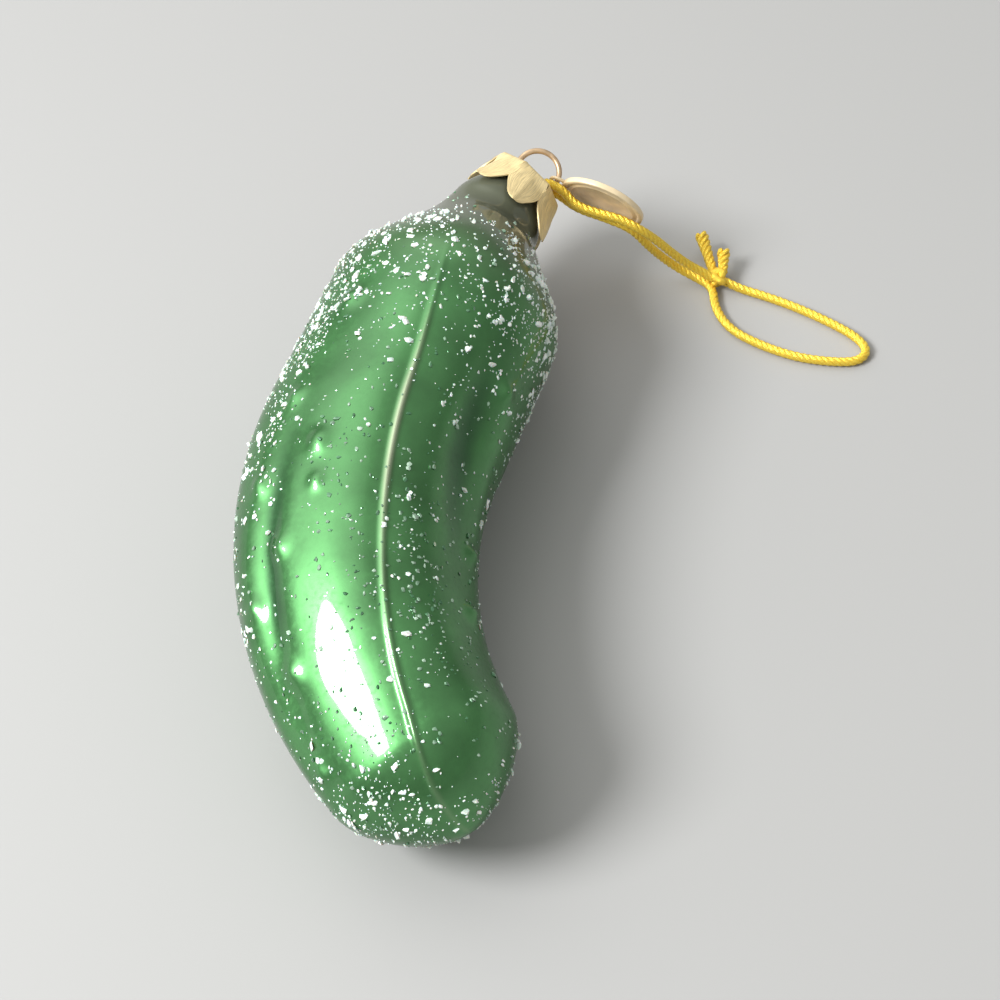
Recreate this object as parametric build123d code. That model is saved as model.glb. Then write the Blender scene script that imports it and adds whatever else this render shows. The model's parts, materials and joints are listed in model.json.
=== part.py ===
"""Blown-glass pickle ornament: glass shell, metal cap, hanger wire, tag and hanging cord."""
from build123d import *
from math import ceil, cos, exp, pi, radians, sin, tan
import os

# Spine of the glass, from the blossom end to the neck: lengths in mm, angles in degrees
TIP_X = -1.34
TIP_Y = -46.85
TIP_RUN = 12.5
BEND_RUN = 41.5
SHOULDER_RUN = 33.2
STEM_RUN = 9.4
TIP_HEADING = -28.2
SHOULDER_HEADING = 24.0
NECK_HEADING = 47.5
TIP_PITCH = 7.4
BODY_PITCH = 0.0
NECK_PITCH = 12.0
SPINE_STEP = 1.0

# Loop of hanger wire and the neck that it drops into
WIRE_RADIUS = 0.38
LOOP_RADIUS = 2.85
LOOP_STAND = 1.6
LEG_DEPTH = 10.5
LEG_CLEARANCE = 0.15
WIRE_HOLE_CLEARANCE = 0.1
NECK_ROLL = -24.0
NECK_WALL = 0.65
NECK_LENGTH = 2.4
NECK_BORE = LOOP_RADIUS + WIRE_RADIUS + LEG_CLEARANCE
NECK_RADIUS = NECK_BORE + NECK_WALL

# Glass skin: radii along the spine, lobes and warts
GLASS_WALL = 1.0
TIP_RADIUS = 10.5
BELLY_RADIUS = 14.6
LIP_STEP = 0.4
STEM_SWELL = 2.0
TIP_ROUND = 9.3
TIP_POWER = 1.65
FALL_LENGTH = 18.4
STEM_LENGTH = 4.0
LIP_RUN = 4.5
LIP_POWER = 1.4
LOBE_COUNT = 4
LOBE_HEIGHT = 0.45
LOBE_ANGLE = 106.0
RELIEF_FADE = 14.0
WART_RADIUS = 1.1
WART_SINK = 0.5
WART_SIZES = (0.8, 1.0, 1.2)
LIP_RADIUS = NECK_RADIUS + LIP_STEP
STEM_RADIUS = LIP_RADIUS + STEM_SWELL
LENGTH = TIP_RUN + BEND_RUN + SHOULDER_RUN + STEM_RUN

# Drawn cap and the petal rosette on top of it
CAP_CLEARANCE = 0.08
CAP_SHEET = 0.25
CAP_EDGE = 0.15
CAP_LIFT = 0.35
RIM_ROLL = 0.2
ROSETTE_SHEET = 0.25
PETAL_COUNT = 6
PETAL_LENGTH = 5.8
PETAL_WIDTH = 5.2
PETAL_WIDEST = 0.4
PETAL_BASE = 4.3
PETAL_BEND = 0.5
PETAL_TURN = 12.0
PETAL_FLARES = (24.0, 25.0, 23.0, 25.0, 24.0, 21.0)
COLLAR_INNER = NECK_RADIUS + CAP_CLEARANCE
COLLAR_OUTER = COLLAR_INNER + CAP_SHEET
BEND_START = COLLAR_OUTER - CAP_EDGE
ROSETTE_TOP = NECK_LENGTH + CAP_SHEET + ROSETTE_SHEET

# Round tag threaded on the wire loop
TAG_RADIUS = 5.9
TAG_PLATE = 0.5
TAG_RIM_WIDTH = 0.6
TAG_RIM_RISE = 0.15
TAG_EYE_RADIUS = 1.35
TAG_EYE_OFFSET = 0.55
TAG_HOLE_RADIUS = 0.85
TAG_SEAT_GAP = 0.25
TAG_ANGLE = 16.0
TAG_LEAN = 18.0

# Cord: its bight round the wire's right leg, and its route as x and y from that leg and height over the floor
CORD_RADIUS = 0.6
CORD_RISE = 1.2
BIGHT_HALF = 1.2
BIGHT_REACH = 1.3
UPPER_STRAND = [
    (21.3, -6.4, 2.05), (20.3, -5.9, 2.6), (18.0, -5.6, 4.3), (15.7, -5.8, 7.2), (13.6, -6.0, 10.2),
    (11.2, -6.1, 12.9), (8.7, -4.9, 13.9), (6.0, -3.9, 14.2), (2.9, -2.7, 14.8),
]
LOWER_STRAND = [
    (3.0, -2.0, 13.6), (6.1, -3.2, 12.9), (8.8, -4.5, 12.5), (10.7, -5.0, 11.2), (12.5, -4.9, 8.1),
    (14.6, -4.2, 4.6), (16.8, -4.0, 2.0), (19.0, -5.0, 0.75),
]
FAR_LOOP = [
    (20.5, -7.6, 0.65), (20.9, -11.0, 0.65), (22.7, -14.5, 0.65), (26.4, -17.6, 0.65), (31.0, -20.2, 0.65),
    (35.8, -21.5, 0.65), (39.1, -21.7, 0.65), (40.7, -20.0, 0.65), (39.4, -17.4, 0.65), (36.1, -14.5, 0.65),
    (32.2, -11.6, 0.65), (27.9, -9.0, 0.65), (24.9, -7.5, 0.65), (22.9, -6.6, 1.47),
]
KNOT_PLACE = (22.2, -6.3, 1.75)
KNOT_CORE = 1.35
KNOT_TURN = 0.9
LONG_TAIL = (-0.5, 0.9, -0.1), (-1.5, 6.9, 1.2)
SHORT_TAIL = (0.7, 0.75, 0.35), (1.1, 3.5, 1.4)

# Hollows and swellings of the skin: distance along the spine, angle round it, half length, half angle, height
FORMS = [
    (51.0, 151.0, 17.0, 12.0, -0.75),
    (33.0, 22.0, 13.0, 14.0, 0.6),
    (34.0, 46.0, 15.0, 8.0, -0.5),
]

# Warts on the upper side, as distance along the spine and angle round it
UPPER_WARTS = [
    (11.0, 24.0), (21.5, 45.0), (24.0, 160.0), (29.0, 36.0), (34.5, 57.0), (34.5, 163.0),
    (40.0, 77.0), (41.0, 37.0), (45.0, 72.0), (51.0, 46.0), (62.0, 158.0), (65.0, 58.0),
]
LOWER_WART_COUNT = 10
LOWER_WART_PITCH = 5.6
LOWER_WART_ANGLES = (212.0, 318.0, 236.0, 340.0)


def along(distance, values):
    """Value that runs straight between the ends of the spine's four runs."""
    start = 0.0
    for run, low, high in zip((TIP_RUN, BEND_RUN, SHOULDER_RUN, STEM_RUN), values, values[1:]):
        if distance <= start + run:
            return low + (high - low) * (distance - start) / run
        start += run
    return values[-1]


def tangent(distance):
    """Direction of the spine: heading from +Y towards +X, then pitch up."""
    headings = (TIP_HEADING, TIP_HEADING, SHOULDER_HEADING, SHOULDER_HEADING, NECK_HEADING)
    pitches = (TIP_PITCH, TIP_PITCH, BODY_PITCH, BODY_PITCH, NECK_PITCH)
    heading = radians(along(distance, headings))
    pitch = radians(along(distance, pitches))
    return Vector(cos(pitch) * sin(heading), cos(pitch) * cos(heading), sin(pitch))


def spine(distance):
    """Point of the spine at a distance from the tip, added up by the midpoint rule."""
    steps = max(1, ceil(distance / SPINE_STEP))
    step = distance / steps
    start = Vector(TIP_X, TIP_Y, 0)
    return sum((tangent((i + 0.5) * step) * step for i in range(steps)), start)


def smooth(x):
    x = min(max(x, 0.0), 1.0)
    return x * x * (3 - 2 * x)


def mean_radius(distance):
    """Radius of the skin before lobes: rounded tip, swelling body, fall to the stem, rounded lip."""
    swell = min(max(distance / (TIP_RUN + BEND_RUN), 0.0), 1.0)
    radius = TIP_RADIUS + (BELLY_RADIUS - TIP_RADIUS) * sin(pi / 2 * swell)
    nose = min(max(1 - distance / TIP_ROUND, 0.0), 1.0)
    radius *= (1 - nose ** TIP_POWER) ** (1 / TIP_POWER)
    fall_start = LENGTH - STEM_LENGTH - FALL_LENGTH
    radius += (STEM_RADIUS - radius) * smooth((distance - fall_start) / FALL_LENGTH)
    lip = min(max((distance - LENGTH + LIP_RUN) / LIP_RUN, 0.0), 1.0)
    return radius + (LIP_RADIUS - radius) * lip**LIP_POWER


def relief(distance, angle):
    """Lobes round the section, with hollows and swellings between them, faded out at both ends."""
    fade = smooth(distance / RELIEF_FADE) * smooth((LENGTH - STEM_LENGTH - distance) / RELIEF_FADE)
    rise = LOBE_HEIGHT * cos(LOBE_COUNT * radians(angle - LOBE_ANGLE))
    for place, middle, half_length, half_angle, height in FORMS:
        turn = (angle - middle + 180) % 360 - 180
        rise += height * exp(-(((distance - place) / half_length) ** 2) - (turn / half_angle) ** 2)
    return fade * rise


def skin(distance, angle, inset=0.0):
    """Point of the skin: angle 0 is the left of the spine, 90 its top."""
    ahead = tangent(distance)
    left = Vector(0, 0, 1).cross(ahead).normalized()
    up = ahead.cross(left)
    radius = mean_radius(distance) + relief(distance, angle) - inset
    return spine(distance) + (left * cos(radians(angle)) + up * sin(radians(angle))) * radius


def stations():
    """Distances of the lofted sections: close together where the tip and the lip round off."""
    fall_start = LENGTH - STEM_LENGTH - FALL_LENGTH
    tip = [TIP_ROUND * (1 - cos(pi / 2 * k / 5)) for k in range(1, 6)]
    body = [TIP_ROUND + (fall_start - TIP_ROUND) * k / 8 for k in range(1, 9)]
    fall = [fall_start + FALL_LENGTH * k / 5 for k in range(1, 6)]
    lip = [LENGTH - LIP_RUN * (1 - sin(pi / 2 * k / 4)) for k in range(1, 5)]
    return sorted(tip + body + fall + lip)


def section_angles():
    """Angles round a section: six to each lobe, from a crest on."""
    count = 6 * LOBE_COUNT
    return [LOBE_ANGLE + 360 * k / count for k in range(count)]


def skin_loft(distances, tip, inset):
    """Closed skin at a depth under the outer one, with the tip of the spine at floor height."""
    rings = []
    for s in distances:
        points = [skin(s, a, inset) for a in section_angles()]
        rings.append(Wire([Spline(*points, periodic=True)]))
    return Solid.make_loft([Vertex(*tip)] + rings)


OUTER_SKIN = skin_loft(stations(), spine(0), 0.0)
REST_HEIGHT = -OUTER_SKIN.bounding_box().min.Z


def seated(point):
    """Point of the spine or skin lifted so that the glass rests on the floor."""
    return point + Vector(0, 0, REST_HEIGHT)


def neck_plane(height):
    """Plane across the neck: +Z out of the bottle's mouth, X along the two legs of the wire."""
    ahead = tangent(LENGTH)
    level = ahead.cross(Vector(0, 0, 1)).normalized()
    above = level.cross(ahead)
    across = level * cos(radians(NECK_ROLL)) + above * sin(radians(NECK_ROLL))
    return Plane(origin=seated(spine(LENGTH)) + ahead * height, x_dir=across, z_dir=ahead)


def upright(radius, height, base=0.0):
    return Pos(0, 0, base) * Cylinder(radius, height, align=(Align.CENTER, Align.CENTER, Align.MIN))


def wart(distance, angle, size):
    outward = skin(distance, angle) - spine(distance)
    centre = seated(spine(distance) + outward.normalized() * (outward.length - WART_SINK * size))
    return Plane(origin=centre, z_dir=outward) * Sphere(size)


def wart_places():
    lower = [
        (TIP_RUN + LOWER_WART_PITCH * k, LOWER_WART_ANGLES[k % len(LOWER_WART_ANGLES)])
        for k in range(LOWER_WART_COUNT)
    ]
    return UPPER_WARTS + lower


def glass_body():
    outer = Pos(0, 0, REST_HEIGHT) * OUTER_SKIN
    inner_stations = [s for s in stations() if GLASS_WALL * 1.5 < s < LENGTH - GLASS_WALL]
    inner = Pos(0, 0, REST_HEIGHT) * skin_loft(inner_stations, spine(GLASS_WALL), GLASS_WALL)
    neck = neck_plane(0) * upright(NECK_RADIUS, NECK_LENGTH + GLASS_WALL, -GLASS_WALL)
    bore = neck_plane(0) * upright(NECK_BORE, NECK_LENGTH + 2 * LIP_RUN, -2 * LIP_RUN + GLASS_WALL)
    sizes = [WART_RADIUS * share for share in WART_SIZES]
    warts = [wart(s, a, sizes[k % len(sizes)]) for k, (s, a) in enumerate(wart_places())]
    return Part() + [outer, neck] + warts - inner - bore


def leg_holes(base, height):
    radius = WIRE_RADIUS + WIRE_HOLE_CLEARANCE
    return [Pos(side * LOOP_RADIUS, 0, 0) * upright(radius, height, base) for side in (-1, 1)]


def cap_cup():
    """Drawn cup over the neck: collar with a rolled rim and a flat top with two wire holes."""
    collar = upright(COLLAR_OUTER, NECK_LENGTH + CAP_SHEET - CAP_LIFT, CAP_LIFT)
    collar = fillet(collar.edges().sort_by(Axis.Z)[-1], CAP_EDGE)
    collar -= upright(COLLAR_INNER, NECK_LENGTH - CAP_LIFT, CAP_LIFT)
    rim = Pos(0, 0, CAP_LIFT + RIM_ROLL) * Torus(COLLAR_OUTER, RIM_ROLL)
    return neck_plane(0) * (collar + rim - leg_holes(NECK_LENGTH - CAP_SHEET, 3 * CAP_SHEET))


def petal(flare):
    """Leaf of sheet along +X: a flat root, a bend over the cup's edge and a rounded blade."""
    middle = PETAL_BEND + ROSETTE_SHEET / 2
    root = Line((WIRE_RADIUS, ROSETTE_SHEET / 2), (BEND_START, ROSETTE_SHEET / 2))
    bend = CenterArc((BEND_START, -PETAL_BEND), middle, 90, flare - 90)
    way = Vector(sin(radians(flare)), -cos(radians(flare)))
    blade = Line(bend @ 1, (bend @ 1) + way * PETAL_LENGTH)
    strip = Plane.XZ * trace(root + bend + blade, ROSETTE_SHEET)
    strip = extrude(strip, PETAL_WIDTH, both=True)
    foot = bend @ 1
    face = Plane(
        origin=(foot.X, 0, foot.Y), x_dir=(way.X, 0, way.Y), z_dir=(-way.Y, 0, way.X)
    )
    side = Spline(
        (0, -PETAL_BASE / 2),
        (PETAL_WIDEST * PETAL_LENGTH, -PETAL_WIDTH / 2),
        (PETAL_LENGTH, 0),
        tangents=((1, 0), (0, 1)),
    )
    back = -COLLAR_OUTER
    half = PETAL_BASE / 2
    root_edge = Polyline((0, half), (back, half), (back, -half), (0, -half))
    leaf = make_face(Curve() + [root_edge, side, mirror(side, Plane.XZ)])
    return strip & (face * extrude(leaf, COLLAR_OUTER + PETAL_LENGTH, both=True))


def petal_rosette():
    """Stamped disc on the cup's top with a ring of petals, each bent a little differently by hand."""
    rosette = upright(BEND_START, ROSETTE_SHEET)
    for k in range(PETAL_COUNT):
        flare = PETAL_FLARES[k % len(PETAL_FLARES)]
        rosette += Rot(0, 0, PETAL_TURN - 90 + 360 * k / PETAL_COUNT) * petal(flare)
    rosette -= leg_holes(-ROSETTE_SHEET, 3 * ROSETTE_SHEET)
    return neck_plane(NECK_LENGTH + CAP_SHEET) * rosette


def hanger_wire():
    """Loop of wire with two straight legs down inside the neck."""
    left_leg = Line((-LOOP_RADIUS, 0, -LEG_DEPTH), (-LOOP_RADIUS, 0, LOOP_STAND))
    bow = ThreePointArc(
        (-LOOP_RADIUS, 0, LOOP_STAND), (0, 0, LOOP_STAND + LOOP_RADIUS), (LOOP_RADIUS, 0, LOOP_STAND)
    )
    right_leg = Line((LOOP_RADIUS, 0, LOOP_STAND), (LOOP_RADIUS, 0, -LEG_DEPTH))
    path = Wire([left_leg, bow, right_leg])
    section = Plane(origin=path @ 0, z_dir=path % 0) * Circle(WIRE_RADIUS)
    return neck_plane(ROSETTE_TOP) * sweep(section, path)


def tag_pivot():
    """Point of the wire that carries the tag, the tag's face normal and its way outwards."""
    base = neck_plane(ROSETTE_TOP)
    rise = radians(TAG_ANGLE)
    lean = radians(TAG_LEAN)
    point = Vector(LOOP_RADIUS * cos(rise), 0, LOOP_STAND + LOOP_RADIUS * sin(rise))
    outwards = base.x_dir * cos(lean) + base.z_dir * sin(lean)
    face_way = base.z_dir * cos(lean) - base.x_dir * sin(lean)
    return base.from_local_coords(point), face_way, outwards


def hang_tag():
    """Blank round tag with a raised rim on both faces, hung by an eye on its edge."""
    pivot, face_way, outwards = tag_pivot()
    reach = TAG_RADIUS + TAG_EYE_OFFSET
    plate = Cylinder(TAG_RADIUS, TAG_PLATE)
    rim = Cylinder(TAG_RADIUS, TAG_PLATE + 2 * TAG_RIM_RISE)
    rim -= Cylinder(TAG_RADIUS - TAG_RIM_WIDTH, TAG_PLATE + 4 * TAG_RIM_RISE)
    eye = Pos(-reach, 0, 0) * Cylinder(TAG_EYE_RADIUS, TAG_PLATE)
    hole = Pos(-reach, 0, 0) * Cylinder(TAG_HOLE_RADIUS, TAG_PLATE * 3)
    centre = pivot + outwards * (TAG_HOLE_RADIUS - WIRE_RADIUS - TAG_SEAT_GAP + reach)
    return Plane(origin=centre, x_dir=outwards, z_dir=face_way) * (plate + rim + eye - hole)


def cord_leg():
    """Point of the wire's right leg that the cord goes round."""
    return neck_plane(ROSETTE_TOP).from_local_coords(Vector(LOOP_RADIUS, 0, CORD_RISE))


def from_leg(place):
    leg = cord_leg()
    return Vector(leg.X + place[0], leg.Y + place[1], place[2])


def cord_points():
    """Corners of the cord's route: knot, upper strand, bight, lower strand, far loop, knot."""
    leg = cord_leg()
    outwards = tag_pivot()[2]
    across = neck_plane(ROSETTE_TOP).y_dir * BIGHT_HALF
    bight = [leg + outwards * BIGHT_REACH - across, leg - outwards * BIGHT_HALF - across]
    bight += [leg - outwards * BIGHT_HALF + across, leg + outwards * BIGHT_REACH + across]
    upper = [from_leg(place) for place in UPPER_STRAND]
    return upper + bight + [from_leg(place) for place in LOWER_STRAND + FAR_LOOP]


def corner_radius(before, corner, after):
    """Radius of the arc that takes 0.45 of the shorter of the two runs at a corner."""
    arriving = corner - before
    leaving = after - corner
    half_turn = radians(arriving.get_angle(leaving) / 2)
    return 0.45 * min(arriving.length, leaving.length) / tan(half_turn)


def cord_path():
    points = cord_points()
    radii = [corner_radius(*corner) for corner in zip(points, points[1:], points[2:])]
    return FilletPolyline(*points, radius=radii), radii


def hanging_cord():
    path, radii = cord_path()
    tube = sweep(Plane(origin=path @ 0, z_dir=path % 0) * Circle(CORD_RADIUS), path)
    print("cord length", path.length, "radii", min(radii), max(radii))
    print("cord volume", tube.volume, "section by length", pi * CORD_RADIUS**2 * path.length)
    return tube


def cord_tail(ends):
    knot = from_leg(KNOT_PLACE)
    way = Vector(*ends[1]) - Vector(*ends[0])
    return Plane(origin=knot + Vector(*ends[0]), z_dir=way) * upright(CORD_RADIUS, way.length)


def cord_knot(strands):
    """Ball of an overhand knot with one turn of cord round it, open where the strands enter."""
    points = cord_points()
    place = Plane(origin=from_leg(KNOT_PLACE), z_dir=points[0] - points[1])
    return place * (Sphere(KNOT_CORE) + Torus(KNOT_TURN, CORD_RADIUS)) - strands


if __name__ == "__main__":
    os.makedirs("parts", exist_ok=True)
    pieces = {
        "glass_body": glass_body(),
        "cap_cup": cap_cup(),
        "petal_rosette": petal_rosette(),
        "hanger_wire": hanger_wire(),
        "hang_tag": hang_tag(),
        "hanging_cord": hanging_cord(),
        "cord_tail_long": cord_tail(LONG_TAIL),
        "cord_tail_short": cord_tail(SHORT_TAIL),
    }
    strands = [pieces[name] for name in ("hanging_cord", "cord_tail_long", "cord_tail_short")]
    pieces["cord_knot"] = cord_knot(strands)
    for name, shape in pieces.items():
        export_step(shape, f"parts/{name}.step")
    rigid = [shape for name, shape in pieces.items() if "cord" not in name]
    box = Compound(children=rigid).bounding_box()
    print("box without cord", box.min, box.max)
    top = neck_plane(ROSETTE_TOP)
    print("cap top", top.origin, "legs", top.x_dir, "across", top.y_dir, "axis", top.z_dir)
    print("tag pivot", *tag_pivot())
    print("cord leg", cord_leg(), "knot", from_leg(KNOT_PLACE), "rest height", REST_HEIGHT)
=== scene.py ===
"""Looks of a blown-glass pickle ornament: grainy glass skin, petalled cap, hanger, tag and twisted cord."""
import json

import bmesh
import bpy
import numpy as np
from mathutils import Matrix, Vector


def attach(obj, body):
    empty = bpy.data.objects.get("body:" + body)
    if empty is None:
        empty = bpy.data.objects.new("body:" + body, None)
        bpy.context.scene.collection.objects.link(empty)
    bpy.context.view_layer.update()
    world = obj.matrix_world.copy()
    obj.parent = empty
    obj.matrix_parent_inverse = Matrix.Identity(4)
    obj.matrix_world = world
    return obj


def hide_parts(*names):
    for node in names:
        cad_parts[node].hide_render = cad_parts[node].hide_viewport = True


bl_info = {
    "name": "Glass Pickle Ornament",
    "version": (1, 0, 0),
    "blender": (4, 5, 0),
    "location": "View3D > Sidebar > Ornament",
    "description": "Dresses the packed ornament with its glass, cap, tag and cord",
    "category": "Object",
}

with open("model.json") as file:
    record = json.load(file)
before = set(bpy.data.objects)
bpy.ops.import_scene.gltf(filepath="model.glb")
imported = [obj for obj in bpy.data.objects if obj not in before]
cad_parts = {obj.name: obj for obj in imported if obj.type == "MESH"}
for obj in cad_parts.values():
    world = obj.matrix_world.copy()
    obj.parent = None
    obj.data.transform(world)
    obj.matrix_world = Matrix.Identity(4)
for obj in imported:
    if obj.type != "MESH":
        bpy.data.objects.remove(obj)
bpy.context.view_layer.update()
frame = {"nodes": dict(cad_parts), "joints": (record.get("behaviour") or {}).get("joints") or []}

# Shapes are worked out in millimetres and put into the meshes in metres
MM = 0.001
JOINTS = {joint["name"]: joint for joint in frame["joints"]}


def joint_place(name):
    """Place of a joint in millimetres."""
    return np.array(JOINTS[name]["pos_m"]) / MM


def joint_axis(name):
    """Unit direction of a joint's axis."""
    return np.array(JOINTS[name]["axis"])


def unit(vectors):
    """Vectors divided by their lengths."""
    return vectors / np.linalg.norm(vectors, axis=-1, keepdims=True)


# Neck frame: out of the mouth, along the wire's two legs, and across them
CAP_TOP = joint_place("cap_turn")
OUT_WAY = joint_axis("cap_turn")
TAG_PIVOT = joint_place("tag_swing")
TAG_NORMAL = joint_axis("tag_swing")
LEG_WAY = unit(OUT_WAY * (OUT_WAY @ TAG_NORMAL) - TAG_NORMAL)
ACROSS_WAY = np.cross(OUT_WAY, LEG_WAY)
TAG_OUTWARDS = np.cross(ACROSS_WAY, TAG_NORMAL)
CORD_LEG = joint_place("cord_swing")

# Spine of the glass: ends of its four runs, and the heading and pitch at each end
TIP_RUN, BEND_RUN, SHOULDER_RUN, STEM_RUN = 12.5, 41.5, 33.2, 9.4
RUN_ENDS = np.cumsum([0.0, TIP_RUN, BEND_RUN, SHOULDER_RUN, STEM_RUN])
HEADINGS = np.radians([-28.2, -28.2, 24.0, 24.0, 47.5])
PITCHES = np.radians([7.4, 7.4, 0.0, 0.0, 12.0])
LENGTH = RUN_ENDS[-1]
ROSETTE_TOP = 2.9

# Glass skin
TIP_RADIUS, BELLY_RADIUS, STEM_RADIUS, LIP_RADIUS = 10.5, 14.6, 6.43, 4.43
TIP_ROUND, TIP_POWER = 9.3, 1.65
FALL_LENGTH, STEM_LENGTH = 18.4, 4.0
LIP_RUN, LIP_POWER = 4.5, 1.4
LOBE_COUNT, LOBE_ANGLE, RELIEF_FADE = 4, 106.0, 14.0
NECK_RADIUS, NECK_BORE, NECK_LENGTH, GLASS_WALL = 4.03, 3.38, 2.4, 1.0
WART_SIZES, WART_SPREAD = (0.8, 1.0, 1.2), 1.5
RIPPLE_HEIGHT = 0.012
STEM_TINT_START, STEM_TINT_RUN = 29.0, 20.0
# Painted shade in the hollows of the skin: depth where it starts, depth over which it grows, and its largest
# share
HOLLOW_START, HOLLOW_RUN, HOLLOW_SHARE = 0.4, 0.6, 0.75
NOSE_ROWS, BODY_ROWS, LINING_ROWS = 40, 221, 40

# Hollows and swellings: distance along the spine, angle round it, half length, half angle, height,
# and degrees of lean per millimetre
FORMS = [
    (51.0, 145.5, 17.0, 12.0, -0.5, -0.54),
    (53.0, 168.0, 15.0, 9.0, 0.3, -0.5),
    (30.0, 44.0, 13.0, 8.5, -0.7, 0.85),
    (30.0, 28.0, 12.0, 8.0, 0.25, 0.85),
]

# Mould seam on the upper side, as distance along the spine and angle round it
SEAM_LINE = np.array(
    [(0, 68), (5, 76), (15, 91), (24, 102), (35, 106.5), (51, 109), (68, 100), (96, 96)], float)
SEAM_CURVE = np.polynomial.Polynomial.fit(*SEAM_LINE.T, 5)

# Its bead with a dip on both sides, a flatter bead on the lower side, and where they start and end
SEAM_BEAD, SEAM_DIP_WIDTH, SEAM_DIP = 0.42, 1.5, 0.2
UNDER_BEAD, UNDER_SHARE = 0.8, 0.3
SEAM_START, SEAM_START_RUN, SEAM_END, SEAM_END_RUN = 1.5, 4.0, 77.0, 18.0

# Rubbed lacquer along the bead: width, thinnest share, and the place, reach and share of the most rubbed part
RUBBED_WIDTH, RUBBED_LEAST = 0.34, 0.08
RUBBED_PLACE, RUBBED_REACH, RUBBED_MOST = 46.0, 13.0, 0.6
RUBBED_END, RUBBED_END_RUN = 70.0, 14.0

# Columns of the skin's grid: close together along the seam, wide apart elsewhere
SEAM_HALF_BAND, SEAM_COLUMNS, OTHER_COLUMNS, SEAM_PULL = 9.0, 48, 201, 60.0

# Warts, as distance along the spine and angle round it
UPPER_WARTS = [
    (12.5, 25.0), (21.5, 41.5), (23.5, 161.0), (29.0, 33.0), (33.6, 54.0), (34.5, 169.0),
    (39.5, 76.5), (40.8, 43.0), (44.2, 75.5), (50.3, 53.0), (62.0, 158.0), (65.0, 58.0),
]
LOWER_WART_PITCH, LOWER_WART_ANGLES = 5.6, (212.0, 318.0, 236.0, 340.0)
LOWER_WARTS = [(TIP_RUN + LOWER_WART_PITCH * k, LOWER_WART_ANGLES[k % 4]) for k in range(10)]

# Thick patches of grains: distance along the spine, angle round it, half length, half angle and share
WHITE_PATCHES = [
    (5.5, 28.0, 5.0, 35.0, 0.96),
    (61.0, 42.0, 12.0, 7.0, 3.5),
    (30.0, 26.0, 26.0, 9.0, 0.3),
    (76.0, 168.0, 7.0, 22.0, 0.6),
    (40.0, 270.0, 50.0, 60.0, 0.2),
    (56.5, 131.0, 4.0, 6.0, 0.5),
    (29.0, 117.0, 10.0, 9.0, 0.2),
]
CLEAR_PATCHES = [
    (27.0, 118.0, 13.0, 14.0, 0.9),
    (36.0, 90.0, 14.0, 16.0, 0.54),
    (12.0, 60.0, 9.0, 30.0, 0.5),
]
WHITE_SCATTER, SHOULDER_SHARE, TIP_SHARE, CLEAR_SCATTER = 0.035, 0.45, 1.2, 0.08

# Grains: where they start and end, how many lie by another one, and the shape of each lump
GRAIN_START, GRAIN_END, GRAIN_TRIES, CLUMPED_SHARE = 0.4, 91.0, 40, 0.6
GRAIN_LIFT, GRAIN_JITTER, GRAIN_STRETCH, GRAIN_FLATTEN = 0.12, 0.38, (0.55, 1.4), 0.45

# Cap, wire and tag
SHEET = 0.25
BEND_START, BEND_RADIUS = 4.21, 0.625
PETAL_BASE, PETAL_SWELL, PETAL_ROOT = 2.15, 0.5, 2.2
PETAL_FOLD_DEPTH, PETAL_FOLD_WIDTH, PETAL_WRAP_RADIUS = 0.14, 0.4, 5.5
PETAL_CURL_OUT, PETAL_CURL_DOWN = 0.45, 0.1
ROOT_ROWS, BEND_ROWS, BLADE_ROWS, PETAL_COLUMNS = 12, 12, 40, 25

# Petals as angle round the cap, flare from the stem and length of the blade; two are bent aside by use
PETALS = [(-83, 24, 6.0), (-31, 27, 6.8), (30, 25, 5.8), (90, 24, 5.8), (158, 21, 4.6), (-132, 19, 5.5)]
LOOP_RADIUS, LOOP_STAND, LEG_DEPTH = 2.85, 1.6, 10.5
TAG_RADIUS, TAG_PLATE, TAG_EYE_OFFSET = 5.9, 0.5, 0.55
TAG_EYE_RADIUS, TAG_HOLE_RADIUS, TAG_SEAT_GAP = 1.35, 0.85, 0.25

# Cord route: x and y from the wire's leg and height over the floor
BIGHT_HALF, BIGHT_REACH = 1.2, 1.3
UPPER_STRAND = [
    (21.3, -6.4, 2.05), (20.3, -5.9, 2.6), (18.0, -5.6, 4.3), (15.7, -5.8, 7.2), (13.6, -6.0, 10.2),
    (11.2, -6.1, 12.9), (8.7, -4.9, 13.9), (6.0, -3.9, 14.2), (2.9, -2.7, 14.8),
]
LOWER_STRAND = [
    (3.0, -2.0, 13.6), (6.1, -3.2, 12.9), (8.8, -4.5, 12.5), (10.7, -5.0, 11.2), (12.5, -4.9, 8.1),
    (14.6, -4.2, 4.6), (16.9, -4.2, 2.0), (19.4, -5.2, 0.85),
]
FAR_LOOP = [
    (21.4, -7.0, 0.8), (21.2, -10.6, 0.65), (22.7, -14.5, 0.65), (26.4, -17.6, 0.65), (31.0, -20.2, 0.65),
    (35.8, -21.5, 0.65), (39.1, -21.7, 0.65), (40.7, -20.0, 0.65), (39.4, -17.4, 0.65), (36.1, -14.5, 0.65),
    (32.2, -11.6, 0.65), (27.9, -9.0, 0.65), (24.9, -7.5, 0.65), (22.9, -6.6, 1.47),
]
KNOT_PLACE = (22.2, -6.3, 1.75)
LONG_TAIL = np.array([(-0.5, 0.9, -0.1), (-1.5, 6.9, 1.2)])
SHORT_TAIL = np.array([(0.7, 0.75, 0.35), (1.1, 3.5, 1.4)])

# Twist of the cord: strands, their offset and radius as shares of its diameter, spread of a frayed tail,
# thickness and half width of the knot, and its cord's radius
STRANDS, STRAND_OFFSET, STRAND_RADIUS = 4, 0.23, 0.29
FRAYED = ([0.0, 0.5, 1.0], [1.1, 1.5, 2.3])
KNOT_THICK, KNOT_HALF, KNOT_CORD = 0.55, 0.32, 0.44

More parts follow.
